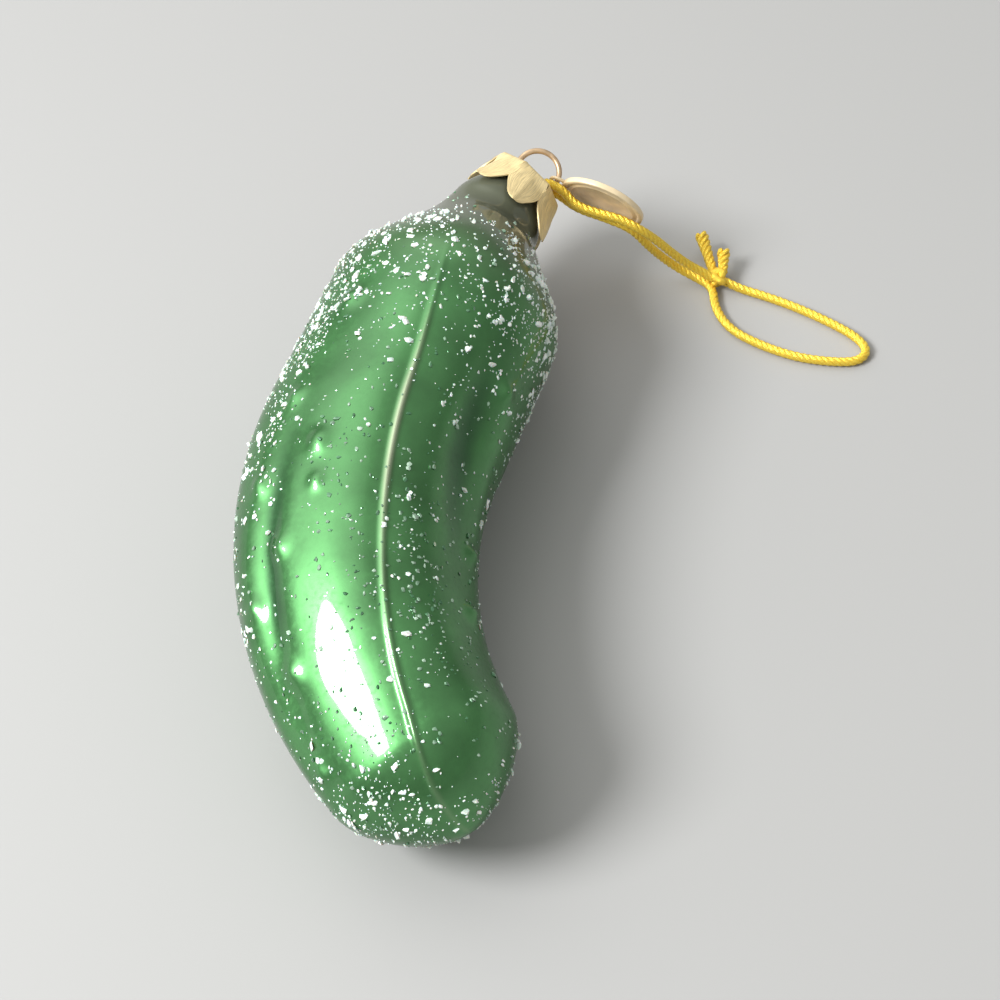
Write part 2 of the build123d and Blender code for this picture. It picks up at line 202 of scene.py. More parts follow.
# Stage in metres and degrees
CAMERA_PLACE, CAMERA_LOOKS_DOWN, CAMERA_ROLL = (0.00491, -0.13665, 0.210), 56.2, -4.59
FLOOR_HALF = 20.0
KEY_PLACE, KEY_TARGET, KEY_SIZE = (-0.42, -0.08, 0.45), (-0.005, -0.01, 0.015), (0.27, 0.24)
WINDOW_WAY, WINDOW_LIGHT, HORIZON_LIGHT, ZENITH_LIGHT = (-0.47, 0.48, 0.74), 1.5, 0.3, 0.62


class OrnamentGlass(bpy.types.PropertyGroup):
    """Finish of the blown glass and the grains stuck to it"""

    lacquer: bpy.props.FloatVectorProperty(
        name="Lacquer", description="Green of the lacquer over the silvering", subtype="COLOR",
        default=(0.09, 0.28, 0.095), min=0.0, max=1.0)
    # Painted shade: the green that the lacquer is darkened to in the hollows of the skin
    deep_lacquer: bpy.props.FloatVectorProperty(
        name="Hollow shade", description="Painted shade: darker green in the hollows", subtype="COLOR",
        default=(0.028, 0.085, 0.04), min=0.0, max=1.0)
    stem_tint: bpy.props.FloatVectorProperty(
        name="Stem tint", description="Grey olive of the stem", subtype="COLOR",
        default=(0.12, 0.13, 0.09), min=0.0, max=1.0)
    bare_silver: bpy.props.FloatVectorProperty(
        name="Bare silver", description="Pale silver where the seam is rubbed bare", subtype="COLOR",
        default=(0.78, 0.82, 0.60), min=0.0, max=1.0)
    lobe_height: bpy.props.FloatProperty(
        name="Lobe height", description="Rise of the lengthwise lobes", default=0.45 * MM, min=0.0,
        unit="LENGTH")
    seam_height: bpy.props.FloatProperty(
        name="Seam height", description="Rise of the mould seam", default=0.32 * MM, min=0.0, unit="LENGTH")
    wart_height: bpy.props.FloatProperty(
        name="Wart height", description="Rise of the warts", default=0.6 * MM, min=0.0, unit="LENGTH")
    coarse_grains: bpy.props.IntProperty(
        name="Coarse grains", description="Number of large glass grains", default=1500, min=1)
    fine_grains: bpy.props.IntProperty(
        name="Fine grains", description="Number of small glass grains", default=4200, min=1)
    clear_beads: bpy.props.IntProperty(
        name="Clear beads", description="Number of clear glass beads", default=1500, min=1)


class OrnamentCap(bpy.types.PropertyGroup):
    """Finish of the cap, its petals, the hanger wire and the tag"""

    petal_gold: bpy.props.FloatVectorProperty(
        name="Petal gold", description="Pale matte gold of the petals", subtype="COLOR",
        default=(0.95, 0.76, 0.40), min=0.0, max=1.0)
    collar_gold: bpy.props.FloatVectorProperty(
        name="Collar gold", description="Bright gold of the collar", subtype="COLOR",
        default=(0.62, 0.38, 0.12), min=0.0, max=1.0)
    wire_gold: bpy.props.FloatVectorProperty(
        name="Wire gold", description="Copper gold of the wire", subtype="COLOR",
        default=(0.80, 0.57, 0.35), min=0.0, max=1.0)
    tag_gold: bpy.props.FloatVectorProperty(
        name="Tag gold", description="Dull beige gold of the tag", subtype="COLOR",
        default=(0.90, 0.73, 0.47), min=0.0, max=1.0)
    wire_radius: bpy.props.FloatProperty(
        name="Wire radius", description="Radius of the hanger wire", default=0.38 * MM, min=0.0001,
        unit="LENGTH")


class OrnamentCord(bpy.types.PropertyGroup):
    """Size and finish of the hanging cord"""

    yarn_gold: bpy.props.FloatVectorProperty(
        name="Yarn gold", description="Yellow gold of the metallic yarn", subtype="COLOR",
        default=(0.98, 0.68, 0.06), min=0.0, max=1.0)
    diameter: bpy.props.FloatProperty(
        name="Diameter", description="Thickness of the twisted cord", default=1.2 * MM, min=0.0003,
        unit="LENGTH")
    pitch: bpy.props.FloatProperty(
        name="Pitch", description="Length of one full twist", default=3.4 * MM, min=0.0005, unit="LENGTH")


class OrnamentStage(bpy.types.PropertyGroup):
    """Floor, light and camera"""

    floor: bpy.props.FloatVectorProperty(
        name="Floor", description="Colour of the floor", subtype="COLOR",
        default=(0.38, 0.38, 0.377), min=0.0, max=1.0)
    key_power: bpy.props.FloatProperty(
        name="Key light", description="Power of the key light", default=5.0, min=0.0, unit="POWER")
    lens: bpy.props.FloatProperty(
        name="Lens", description="Focal length of the camera", default=70.38, min=1.0, unit="CAMERA")


def grid_faces(rows, cols, close_rows=False, close_cols=False):
    """Quads of a grid of points, and the corner's row and column before wrapping."""
    i, j = np.meshgrid(np.arange(rows - (not close_rows)), np.arange(cols - (not close_cols)), indexing="ij")
    row = np.stack([i, i, i + 1, i + 1], -1).reshape(-1, 4)
    col = np.stack([j, j + 1, j + 1, j], -1).reshape(-1, 4)
    return (row % rows) * cols + col % cols, row, col


def grid_piece(points, close_rows=False, close_cols=False):
    """A grid as (vertices, quads, corner UVs): U runs along the columns, V along the rows, from 0 to 1."""
    rows, cols = points.shape[:2]
    faces, row, col = grid_faces(rows, cols, close_rows, close_cols)
    uv = np.stack([col / (cols if close_cols else cols - 1), row / (rows if close_rows else rows - 1)], -1)
    return points.reshape(-1, 3), faces, uv


def joined(pieces):
    """Several pieces as one, with the later ones' vertex numbers moved up."""
    starts = np.cumsum([0] + [len(vertices) for vertices, _, _ in pieces])
    faces = np.concatenate([quads + start for (_, quads, _), start in zip(pieces, starts)])
    return np.concatenate([p[0] for p in pieces]), faces, np.concatenate([p[2] for p in pieces])


def mesh_object(name, piece, material, attributes=None, sharp=40.0):
    """Object at the origin from a piece in millimetres: poles merged, UVs set, faces pointing outwards."""
    vertices, faces, uv = piece
    mesh = bpy.data.meshes.new(name)
    mesh.from_pydata((vertices * MM).tolist(), [], faces.tolist())
    layer = mesh.uv_layers.new(name="UVMap")
    layer.data.foreach_set("uv", uv.reshape(-1).astype(np.float32))
    for key, values in (attributes or {}).items():
        attribute = mesh.attributes.new(key, "FLOAT", "POINT")
        attribute.data.foreach_set("value", values.reshape(-1).astype(np.float32))
    work = bmesh.new()
    work.from_mesh(mesh)
    bmesh.ops.remove_doubles(work, verts=work.verts, dist=1e-7)
    bmesh.ops.recalc_face_normals(work, faces=work.faces)
    work.to_mesh(mesh)
    work.free()
    mesh.polygons.foreach_set("use_smooth", np.ones(len(mesh.polygons), bool))
    mesh.set_sharp_from_angle(angle=np.radians(sharp))
    mesh.materials.append(material)
    made = bpy.data.objects.new(name, mesh)
    bpy.context.scene.collection.objects.link(made)
    return made


def dress(made, body, slot, *nodes):
    """Put a piece on its body and let it stand for CAD nodes; the slot argument is not used."""
    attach(made, body)
    if nodes:
        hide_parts(*nodes)
    return made


def smooth(x):
    """Soft step from 0 to 1: 3 x^2 - 2 x^3, with x held between 0 and 1."""
    x = np.clip(x, 0.0, 1.0)
    return x * x * (3 - 2 * x)


def path_frames(path):
    """Tangent, normal and binormal along a path: each normal is the last one with the bend taken out."""
    tangents = unit(np.gradient(path, axis=0))
    normals = np.empty_like(path)
    normals[0] = unit(np.cross(tangents[0], np.eye(3)[np.argmin(np.abs(tangents[0]))]))
    for k in range(1, len(path)):
        normals[k] = unit(normals[k - 1] - tangents[k] * (normals[k - 1] @ tangents[k]))
    return tangents, normals, np.cross(tangents, normals)


def even_path(path, step):
    """The same path with its points a fixed distance apart."""
    arc = np.concatenate([[0.0], np.cumsum(np.linalg.norm(np.diff(path, axis=0), axis=1))])
    places = np.linspace(0.0, arc[-1], max(8, int(arc[-1] / step)))
    return np.stack([np.interp(places, arc, path[:, k]) for k in range(3)], -1), places


def tube(path, radius, sides=12, close=False):
    """Circle carried along a path: point = path + (normal cos + binormal sin) radius, with round ends."""
    tangents, normals, binormals = path_frames(path)
    turn = np.linspace(0.0, 2 * np.pi, sides, endpoint=False)
    radius = np.broadcast_to(radius, (len(path),))
    if not close:
        cap = np.linspace(0.0, np.pi / 2, 4)[:-1]
        start = path[0] - tangents[0] * (radius[0] * np.cos(cap))[:, None]
        end = path[-1] + tangents[-1] * (radius[-1] * np.cos(cap[::-1]))[:, None]
        path = np.concatenate([start, path, end])
        normals = np.concatenate([normals[:1].repeat(3, 0), normals, normals[-1:].repeat(3, 0)])
        binormals = np.concatenate([binormals[:1].repeat(3, 0), binormals, binormals[-1:].repeat(3, 0)])
        radius = np.concatenate([radius[0] * np.sin(cap), radius, radius[-1] * np.sin(cap[::-1])])
    ring = normals[:, None] * np.cos(turn)[:, None] + binormals[:, None] * np.sin(turn)[:, None]
    return grid_piece(path[:, None] + ring * radius[:, None, None], close_rows=close, close_cols=True)


def twisted(path, diameter, pitch, spread=None):
    """Strands wound round a path: centre = path + (normal cos + binormal sin) offset, one turn a pitch."""
    path, arc = even_path(path, pitch / 24)
    _, normals, binormals = path_frames(path)
    spread = np.ones(len(path)) if spread is None else np.interp(arc / arc[-1], *spread)
    offset = (diameter * STRAND_OFFSET * spread)[:, None]
    strands = []
    for start in np.arange(STRANDS) * 2 * np.pi / STRANDS:
        turn = (2 * np.pi * arc / pitch + start)[:, None]
        centre = path + (normals * np.cos(turn) + binormals * np.sin(turn)) * offset
        strands.append(tube(centre, diameter * STRAND_RADIUS, 8))
    return joined(strands)


def revolved(profile, origin, x_way, y_way, z_way, segments=96, close=False):
    """Profile of (radius, height) turned about an axis: origin + (x cos + y sin) radius + z height."""
    turn = np.linspace(0.0, 2 * np.pi, segments, endpoint=False)
    ring = x_way * np.cos(turn)[:, None] + y_way * np.sin(turn)[:, None]
    points = origin + ring * profile[:, 0, None, None] + z_way * profile[:, 1, None, None]
    return grid_piece(points, close_rows=close, close_cols=True)


def finish_of(name, colour, metallic, roughness, **sockets):
    """New material with a Principled shader: uniform values go on its own sockets."""
    material = bpy.data.materials.new(name)
    material.use_nodes = True
    shader = material.node_tree.nodes["Principled BSDF"]
    shader.inputs["Base Color"].default_value = (*colour, 1.0)
    shader.inputs["Metallic"].default_value = metallic
    shader.inputs["Roughness"].default_value = roughness
    for key, value in sockets.items():
        shader.inputs[key.replace("_", " ")].default_value = value
    return material, material.node_tree, shader


def noise_of(tree, scale, detail=3.0, coordinates="Object", stretch=(1.0, 1.0, 1.0)):
    """Noise on Object or UV coordinates, stretched by a Mapping node."""
    place = tree.nodes.new("ShaderNodeTexCoord")
    mapping = tree.nodes.new("ShaderNodeMapping")
    mapping.inputs["Scale"].default_value = stretch
    noise = tree.nodes.new("ShaderNodeTexNoise")
    noise.inputs["Scale"].default_value = scale
    noise.inputs["Detail"].default_value = detail
    tree.links.new(place.outputs[coordinates], mapping.inputs["Vector"])
    tree.links.new(mapping.outputs["Vector"], noise.inputs["Vector"])
    return noise.outputs["Fac"]


def ramp_of(tree, factor, *stops):
    """Colour ramp through (position, colour) stops."""
    ramp = tree.nodes.new("ShaderNodeValToRGB")
    elements = ramp.color_ramp.elements
    while len(elements) < len(stops):
        elements.new(0.5)
    for element, (position, colour) in zip(elements, stops):
        element.position = position
        element.color = (*colour, 1.0)
    tree.links.new(factor, ramp.inputs["Fac"])
    return ramp.outputs["Color"]


def mixed(tree, factor, first, second):
    """Colour mix of two sockets or colours by a factor socket."""
    mix = tree.nodes.new("ShaderNodeMix")
    mix.data_type = "RGBA"
    tree.links.new(factor, mix.inputs["Factor"])
    for key, value in (("A", first), ("B", second)):
        socket = next(s for s in mix.inputs if s.name == key and s.type == "RGBA")
        if isinstance(value, bpy.types.NodeSocket):
            tree.links.new(value, socket)
        else:
            socket.default_value = (*value, 1.0)
    return next(s for s in mix.outputs if s.type == "RGBA")


def attribute_of(tree, name):
    """Value of a mesh attribute."""
    made = tree.nodes.new("ShaderNodeAttribute")
    made.attribute_name = name
    return made.outputs["Fac"]


def bump_of(tree, shader, height, strength, distance):
    """Fine bump from a height socket on the shader's normal."""
    bump = tree.nodes.new("ShaderNodeBump")
    bump.inputs["Strength"].default_value = strength
    bump.inputs["Distance"].default_value = distance
    tree.links.new(height, bump.inputs["Height"])
    tree.links.new(bump.outputs["Normal"], shader.inputs["Normal"])


def worn_metal(name, gold, metallic, roughness, noise, low, high_stop, bump):
    """Metal that is darker by a share in the low places of a noise, with a fine bump from the same noise."""
    material, tree, shader = finish_of(name, gold, metallic, roughness)
    pattern = noise_of(tree, *noise)
    dark = tuple(low * c for c in gold)
    tree.links.new(ramp_of(tree, pattern, (0.35, dark), (high_stop, gold)), shader.inputs["Base Color"])
    bump_of(tree, shader, pattern, *bump)
    return material


def tangent_at(distance):
    """Direction of the spine: (cos pitch sin heading, cos pitch cos heading, sin pitch)."""
    heading = np.interp(distance, RUN_ENDS, HEADINGS)
    pitch = np.interp(distance, RUN_ENDS, PITCHES)
    return np.stack([np.cos(pitch) * np.sin(heading), np.cos(pitch) * np.cos(heading), np.sin(pitch)], -1)


SPINE_PLACES = np.linspace(0.0, LENGTH, 1500)
SPINE_STEPS = tangent_at((SPINE_PLACES[1:] + SPINE_PLACES[:-1]) / 2) * np.diff(SPINE_PLACES)[:, None]
SPINE_LINE = np.concatenate([np.zeros((1, 3)), np.cumsum(SPINE_STEPS, axis=0)])
SPINE_LINE = SPINE_LINE - SPINE_LINE[-1] + CAP_TOP - OUT_WAY * ROSETTE_TOP


def spine_at(distance):
    """Point of the spine: the sum of its directions up to there, with its end under the cap."""
    return np.stack([np.interp(distance, SPINE_PLACES, SPINE_LINE[:, k]) for k in range(3)], -1)


def mean_radius(distance):
    """Radius before lobes: a sine swell, a rounded tip, a smooth fall to the stem and a fall to the lip."""
    swell = np.clip(distance / RUN_ENDS[2], 0.0, 1.0)
    radius = TIP_RADIUS + (BELLY_RADIUS - TIP_RADIUS) * np.sin(np.pi / 2 * swell)
    nose = np.clip(1 - distance / TIP_ROUND, 0.0, 1.0)
    radius = radius * (1 - nose**TIP_POWER) ** (1 / TIP_POWER)
    fall = smooth((distance - LENGTH + STEM_LENGTH + FALL_LENGTH) / FALL_LENGTH)
    radius = radius + (STEM_RADIUS - radius) * fall
    lip = np.clip((distance - LENGTH + LIP_RUN) / LIP_RUN, 0.0, 1.0)
    return radius + (LIP_RADIUS - radius) * lip**LIP_POWER


def patch(distance, angle, place, size, lean=0.0):
    """Bell over the skin: exp(-(along / length)^2 - (angle / width)^2), turning by the lean along it."""
    along = distance - place[0]
    turn = (angle - place[1] - lean * along + 180) % 360 - 180
    return np.exp(-((along / size[0]) ** 2) - (turn / size[1]) ** 2)


def seam_angle(distance):
    """Angle of the mould seam: a smooth curve of the fifth degree through its places."""
    return SEAM_CURVE(distance)


def patches(distance, angle, places):
    """Sum of bells over the skin, each times its share."""
    return sum(place[4] * patch(distance, angle, place[:2], place[2:4]) for place in places)


def seam_arc(distance, angle):
    """Distance on the skin from the mould seam, in millimetres."""
    turn = (angle - seam_angle(distance) + 180) % 360 - 180
    return np.radians(turn) * np.maximum(mean_radius(distance), 1.0)


def relief(distance, angle, glass):
    """Height of the skin in millimetres: cosine lobes, bells for hollows, seams and warts, and a ripple."""
    fade = smooth(distance / RELIEF_FADE) * smooth((LENGTH - STEM_LENGTH - distance) / RELIEF_FADE)
    lobes = glass.lobe_height / MM * np.cos(LOBE_COUNT * np.radians(angle - LOBE_ANGLE))
    arc = seam_arc(distance, angle)
    under = seam_arc(distance, angle + 180.0)
    seam = np.exp(-((arc / SEAM_BEAD) ** 2)) - SEAM_DIP * np.exp(-((arc / SEAM_DIP_WIDTH) ** 2))
    seam = glass.seam_height / MM * (seam + UNDER_SHARE * np.exp(-((under / UNDER_BEAD) ** 2)))
    seam = seam * smooth((distance - SEAM_START) / SEAM_START_RUN)
    seam = seam * smooth((SEAM_END - distance) / SEAM_END_RUN)
    forms = sum(form[4] * patch(distance, angle, form[:2], form[2:4], form[5]) for form in FORMS)
    turn = np.radians(angle)
    ripple = RIPPLE_HEIGHT * np.sin(distance * 0.9 + 3 * np.sin(turn * 3)) * np.sin(turn * 7)
    warts = np.zeros_like(distance + angle)
    for k, place in enumerate(UPPER_WARTS + LOWER_WARTS):
        turn = np.radians((angle - place[1] + 180) % 360 - 180) * mean_radius(np.float64(place[0]))
        size = WART_SIZES[k % len(WART_SIZES)]
        warts = warts + size * np.exp(-(((distance - place[0]) ** 2 + turn**2) / (WART_SPREAD * size**2)))
    return fade * (lobes + forms + ripple) + seam + warts * glass.wart_height / MM


def skin_point(distance, angle, rise):
    """Point of the skin: spine + (left cos + up sin) radius; angle 0 is the left of the spine, 90 its top."""
    ahead = tangent_at(distance)
    left = unit(np.cross([0.0, 0.0, 1.0], ahead))
    up = np.cross(ahead, left)
    turn = np.radians(angle)[..., None]
    outward = left * np.cos(turn) + up * np.sin(turn)
    return spine_at(distance) + outward * (mean_radius(distance) + rise)[..., None]


def glass_material(glass):
    """Green lacquer over silvering: cloudy, with painted shade darkening it in the hollows, grey on the stem,
    bare on the seam.
    """
    material, tree, shader = finish_of(
        "green_silvered_glass", glass.lacquer, 0.8, 0.4, Coat_Weight=0.7, Coat_Roughness=0.04, Coat_IOR=1.45,
        Specular_Tint=(0.22, 0.30, 0.22, 1.0))
    clouds = noise_of(tree, 140.0, 4.0)
    thin = tuple(0.72 * c for c in glass.lacquer)
    lacquer = ramp_of(tree, clouds, (0.35, thin), (0.65, glass.lacquer))
    # Painted shade: the lacquer darkens towards a deeper green in the hollows
    body = mixed(tree, attribute_of(tree, "hollow"), lacquer, glass.deep_lacquer)
    stem = attribute_of(tree, "stem")
    colour = mixed(tree, stem, body, glass.stem_tint)
    colour = mixed(tree, attribute_of(tree, "rubbed"), colour, glass.bare_silver)
    tree.links.new(colour, shader.inputs["Base Color"])
    specks = ramp_of(tree, noise_of(tree, 1500.0, 2.0), (0.45, (0.36,) * 3), (0.75, (0.5,) * 3))
    tree.links.new(mixed(tree, stem, specks, (0.58,) * 3), shader.inputs["Roughness"])
    tree.links.new(ramp_of(tree, stem, (0.0, (0.8,) * 3), (1.0, (0.35,) * 3)), shader.inputs["Metallic"])
    bump_of(tree, shader, noise_of(tree, 420.0, 3.0), 0.04, 0.0002)
    return material


def skin_grid(places):
    """Distance and angle of the skin's grid: columns are close together along the seam and follow it."""
    band = np.linspace(-SEAM_HALF_BAND, SEAM_HALF_BAND, SEAM_COLUMNS)
    others = np.linspace(SEAM_HALF_BAND, 360.0 - SEAM_HALF_BAND, OTHER_COLUMNS)[1:-1]
    s, turn = np.meshgrid(places, np.concatenate([band, others]), indexing="ij")
    near = np.exp(-((((turn + 180) % 360 - 180) / SEAM_PULL) ** 2))
    return s, turn + LOBE_ANGLE + (seam_angle(s) - LOBE_ANGLE) * near


class ORNAMENT_OT_glass(bpy.types.Operator):
    """Make the hollow glass pickle: outer skin, neck, bore and inner skin as one closed shell"""

    bl_idname = "ornament.glass"
    bl_label = "Glass"

    def execute(self, context):
        glass = context.scene.ornament_glass
        nose = TIP_ROUND * (1 - np.cos(np.linspace(0, np.pi / 2, NOSE_ROWS)))
        outer = np.concatenate([nose, np.linspace(TIP_ROUND, LENGTH, BODY_ROWS)[1:]])
        s, turn = skin_grid(outer)
        rise = relief(s, turn, glass)
        skin = skin_point(s, turn, rise)
        s_in, turn_in = skin_grid(np.linspace(LENGTH - GLASS_WALL, GLASS_WALL, LINING_ROWS))
        lining = skin_point(s_in, turn_in, -np.minimum(GLASS_WALL, mean_radius(s_in)))
        ring = unit(skin[-1] - spine_at(LENGTH))
        neck = np.array([
            (NECK_RADIUS, 0.0), (NECK_RADIUS, NECK_LENGTH), (NECK_BORE, NECK_LENGTH), (NECK_BORE, 0.0)])
        neck = spine_at(LENGTH) + ring * neck[:, 0, None, None] + OUT_WAY * neck[:, 1, None, None]
        points = np.concatenate([skin, neck, lining])
        stem = np.ones(points.shape[:2])
        stem[: len(outer)] = smooth((s - LENGTH + STEM_TINT_START) / STEM_TINT_RUN)
        # Painted shade: share of the darker green, growing with the depth of the hollows
        hollow = np.zeros(points.shape[:2])
        hollow[: len(outer)] = HOLLOW_SHARE * smooth((-rise - HOLLOW_START) / HOLLOW_RUN)
        bare = RUBBED_LEAST + RUBBED_MOST * np.exp(-(((s - RUBBED_PLACE) / RUBBED_REACH) ** 2))
        bare = bare * np.exp(-((seam_arc(s, turn) / RUBBED_WIDTH) ** 2))
        rubbed = np.zeros(points.shape[:2])
        rubbed[: len(outer)] = bare * smooth((RUBBED_END - s) / RUBBED_END_RUN)
        made = mesh_object(
            "glass_skin", grid_piece(points, close_cols=True), glass_material(glass),
            {"stem": stem, "hollow": hollow, "rubbed": rubbed})
        dress(made, "glass", "silvered_glass", "glass_body")
        return {"FINISHED"}


def white_density(distance, angle):
    """Share of the skin under white grains: a thin scatter, more on shoulder and tip, and thick patches."""
    shoulder = smooth((distance - 57.0) / 14.0) * smooth((87.0 - distance) / 5.0)
    tip = smooth((3.5 - distance) / 3.0)
    cover = WHITE_SCATTER + SHOULDER_SHARE * shoulder + TIP_SHARE * tip
    cover = cover + patches(distance, angle, WHITE_PATCHES)
    return cover * smooth((92.0 - distance) / 4.0)


def clear_density(distance, angle):
    """Share of the skin under clear beads: a thin scatter, and thick patches beside the seam."""
    return CLEAR_SCATTER + patches(distance, angle, CLEAR_PATCHES)


def grain_places(count, seed, density, spread):
    """Places on the skin picked by density, most of them drawn close to another grain."""
    rng = np.random.default_rng(seed)
    distance = rng.uniform(GRAIN_START, GRAIN_END, count * GRAIN_TRIES)
    angle = rng.uniform(0.0, 360.0, count * GRAIN_TRIES)
    share = density(distance, angle) * mean_radius(distance) / BELLY_RADIUS
    kept = np.flatnonzero(rng.uniform(size=len(share)) < share)[:count]
    distance, angle = distance[kept], angle[kept]
    clumped = rng.uniform(size=len(kept)) < CLUMPED_SHARE
    mates = rng.integers(0, len(kept), len(kept))
    distance = np.where(clumped, distance[mates] + rng.normal(0, spread, len(kept)), distance)
    angle = np.where(clumped, angle[mates] + np.degrees(rng.normal(0, spread / 12.0, len(kept))), angle)
    return np.clip(distance, GRAIN_START, GRAIN_END), angle, rng


def ball():
    """Vertices and triangles of an icosahedron."""
    work = bmesh.new()
    bmesh.ops.create_icosphere(work, subdivisions=1, radius=1.0)
    vertices = np.array([vertex.co for vertex in work.verts])
    faces = np.array([[vertex.index for vertex in face.verts] for face in work.faces])
    work.free()
    return vertices, faces


def grains(glass, count, seed, sizes, density, spread):
    """Lumps on the skin: a ball times its size and stretch, each corner moved a little, half sunk in."""
    distance, angle, rng = grain_places(count, seed, density, spread)
    vertices, faces = ball()
    size = sizes[0] + (sizes[1] - sizes[0]) * rng.power(0.5, len(distance))
    centres = skin_point(distance, angle, relief(distance, angle, glass) + size * GRAIN_LIFT)
    clear = centres[:, 2] > size
    centres, size = centres[clear], size[clear]
    count = len(size)
    jitter = 1 + rng.uniform(-GRAIN_JITTER, GRAIN_JITTER, (count, len(vertices), 1))
    stretch = rng.uniform(*GRAIN_STRETCH, (count, 1, 3))
    lumps = vertices * jitter * stretch * size[:, None, None]
    outward = unit(centres - spine_at(distance[clear]))[:, None]
    lumps = lumps - outward * (lumps * outward).sum(-1, keepdims=True) * GRAIN_FLATTEN
    points = centres[:, None] + lumps
    triangles = faces + (np.arange(count) * len(vertices))[:, None, None]
    uv = np.zeros((count * len(faces), 3, 2))
    return points.reshape(-1, 3), triangles.reshape(-1, 3), uv


def white_grain_material():
    """Milky glass: some grains greenish, most of them white."""
    material, tree, shader = finish_of(
        "white_glass_grains", (0.85, 0.89, 0.86), 0.0, 0.3,
        Coat_Weight=0.5, Subsurface_Weight=0.2, Subsurface_Scale=0.0006)
    tint = ramp_of(tree, noise_of(tree, 900.0, 1.0), (0.35, (0.55, 0.66, 0.58)), (0.6, (0.9, 0.93, 0.9)))
    tree.links.new(tint, shader.inputs["Base Color"])
    return material


def clear_grain_material():
    """Clear glass that shows the green below it, some beads pale."""
    material, tree, shader = finish_of(
        "clear_glass_beads", (0.1, 0.24, 0.14), 0.5, 0.2, Coat_Weight=1.0, Coat_Roughness=0.05)
    tint = ramp_of(tree, noise_of(tree, 700.0, 1.0), (0.4, (0.06, 0.2, 0.09)), (0.65, (0.42, 0.58, 0.45)))
    tree.links.new(tint, shader.inputs["Base Color"])
    return material


class ORNAMENT_OT_grains(bpy.types.Operator):
    """Stick glass grains on the skin: white crumbs, a fine white frost and clear beads"""

    bl_idname = "ornament.grains"
    bl_label = "Grains"

    def execute(self, context):
        glass = context.scene.ornament_glass
        white, clear = white_grain_material(), clear_grain_material()
        for name, material, seed, sizes, density, spread in (
                ("coarse_grains", white, 11, (0.15, 0.52), white_density, 0.5),
                ("fine_grains", white, 23, (0.07, 0.2), white_density, 0.7),
                ("clear_beads", clear, 37, (0.1, 0.3), clear_density, 0.9)):
            piece = grains(glass, getattr(glass, name), seed, sizes, density, spread)
            dress(mesh_object(name, piece, material, sharp=25.0), "glass", "silvered_glass")
        return {"FINISHED"}


def petal(azimuth, flare, length, lively):
    """Leaf of sheet: a flat root, a bend and a blade wrapped round the stem, as a loop of two faces."""
    flare = np.radians(flare)
    turns = np.linspace(np.pi / 2, flare, BEND_ROWS)
    blade = np.linspace(0.0, 1.0, BLADE_ROWS)
    level, radius = -SHEET * 0.62, BEND_RADIUS - 0.05
    root = np.stack([np.linspace(PETAL_ROOT, BEND_START, ROOT_ROWS), np.full(ROOT_ROWS, level)], -1)
    bend = np.array([BEND_START, level - radius]) + radius * np.stack([np.cos(turns), np.sin(turns)], -1)
    way = np.array([np.sin(flare), -np.cos(flare)])
    curl = np.stack([PETAL_CURL_OUT * blade**3, -PETAL_CURL_DOWN * blade**3], -1)
    leaf = bend[-1] + way * (blade * length)[:, None] + curl
    line = np.concatenate([root, bend[1:], leaf[1:]])
    share = np.concatenate([np.zeros(ROOT_ROWS + BEND_ROWS - 1), blade[1:]])
    half = (PETAL_BASE + PETAL_SWELL * np.sin(np.pi * np.clip(share / 0.8, 0, 1))) * np.sqrt(1 - share**4)
    half[:8] *= np.sqrt(np.linspace(0.0, 1.0, 8))
    side = np.linspace(-1.0, 1.0, PETAL_COLUMNS)
    x = half[:, None] * side
    wrap = smooth(share * 3)[:, None]
    fold = PETAL_FOLD_DEPTH * np.exp(-((x / PETAL_FOLD_WIDTH) ** 2))
    drop = wrap * (fold - x**2 / (2 * PETAL_WRAP_RADIUS))
    drop = drop + wrap * lively * np.sin(4.0 * share[:, None] + azimuth) * side * np.abs(side)
    azimuth = np.radians(azimuth)
    outward = LEG_WAY * np.cos(azimuth) + ACROSS_WAY * np.sin(azimuth)
    sideways = ACROSS_WAY * np.cos(azimuth) - LEG_WAY * np.sin(azimuth)
    middle = CAP_TOP + outward * (line[:, 0, None] + drop)[..., None] + OUT_WAY * line[:, 1, None, None]
    middle = middle + sideways * x[..., None]
    normal = unit(np.cross(np.gradient(middle, axis=0), np.gradient(middle, axis=1)) + 1e-12)
    thick = (SHEET * 0.4 * np.sqrt(np.clip(1 - share**8, 0, 1)))[:, None, None] * normal
    return grid_piece(np.concatenate([middle + thick, (middle - thick)[:, ::-1]], axis=1), close_cols=True)


class ORNAMENT_OT_cap(bpy.types.Operator):
    """Make the petal rosette on the cap and give the collar its gold"""

    bl_idname = "ornament.cap"
    bl_label = "Cap"

    def execute(self, context):
        cap = context.scene.ornament_cap
        veins = (30.0, 2.0, "UV", (3.0, 0.15, 1.0))
        petal_metal = worn_metal(
            "matte_petal_gold", cap.petal_gold, 0.3, 0.45, veins, 0.7, 0.6, (0.35, 0.0003))
        collar = worn_metal(
            "bright_collar_gold", cap.collar_gold, 0.95, 0.22, (600.0, 3.0), 0.6, 0.6, (0.15, 0.0002))
        disc = np.array([
            (0.0, -0.02), (3.9, -0.02), (BEND_START, -0.06), (BEND_START + 0.08, -0.14),
            (BEND_START, -SHEET + 0.02), (0.0, -SHEET + 0.02)])
        pieces = [revolved(disc, CAP_TOP, LEG_WAY, ACROSS_WAY, OUT_WAY)]
        for k, (azimuth, flare, length) in enumerate(PETALS):
            pieces.append(petal(azimuth, flare, length, 0.12 + 0.05 * (k % 3)))
        made = mesh_object("rosette_petals", joined(pieces), petal_metal, sharp=50.0)
        dress(made, "cap", "petal_metal", "petal_rosette")
        frame["nodes"]["cap_cup"].data.materials.clear()
        frame["nodes"]["cap_cup"].data.materials.append(collar)
        return {"FINISHED"}


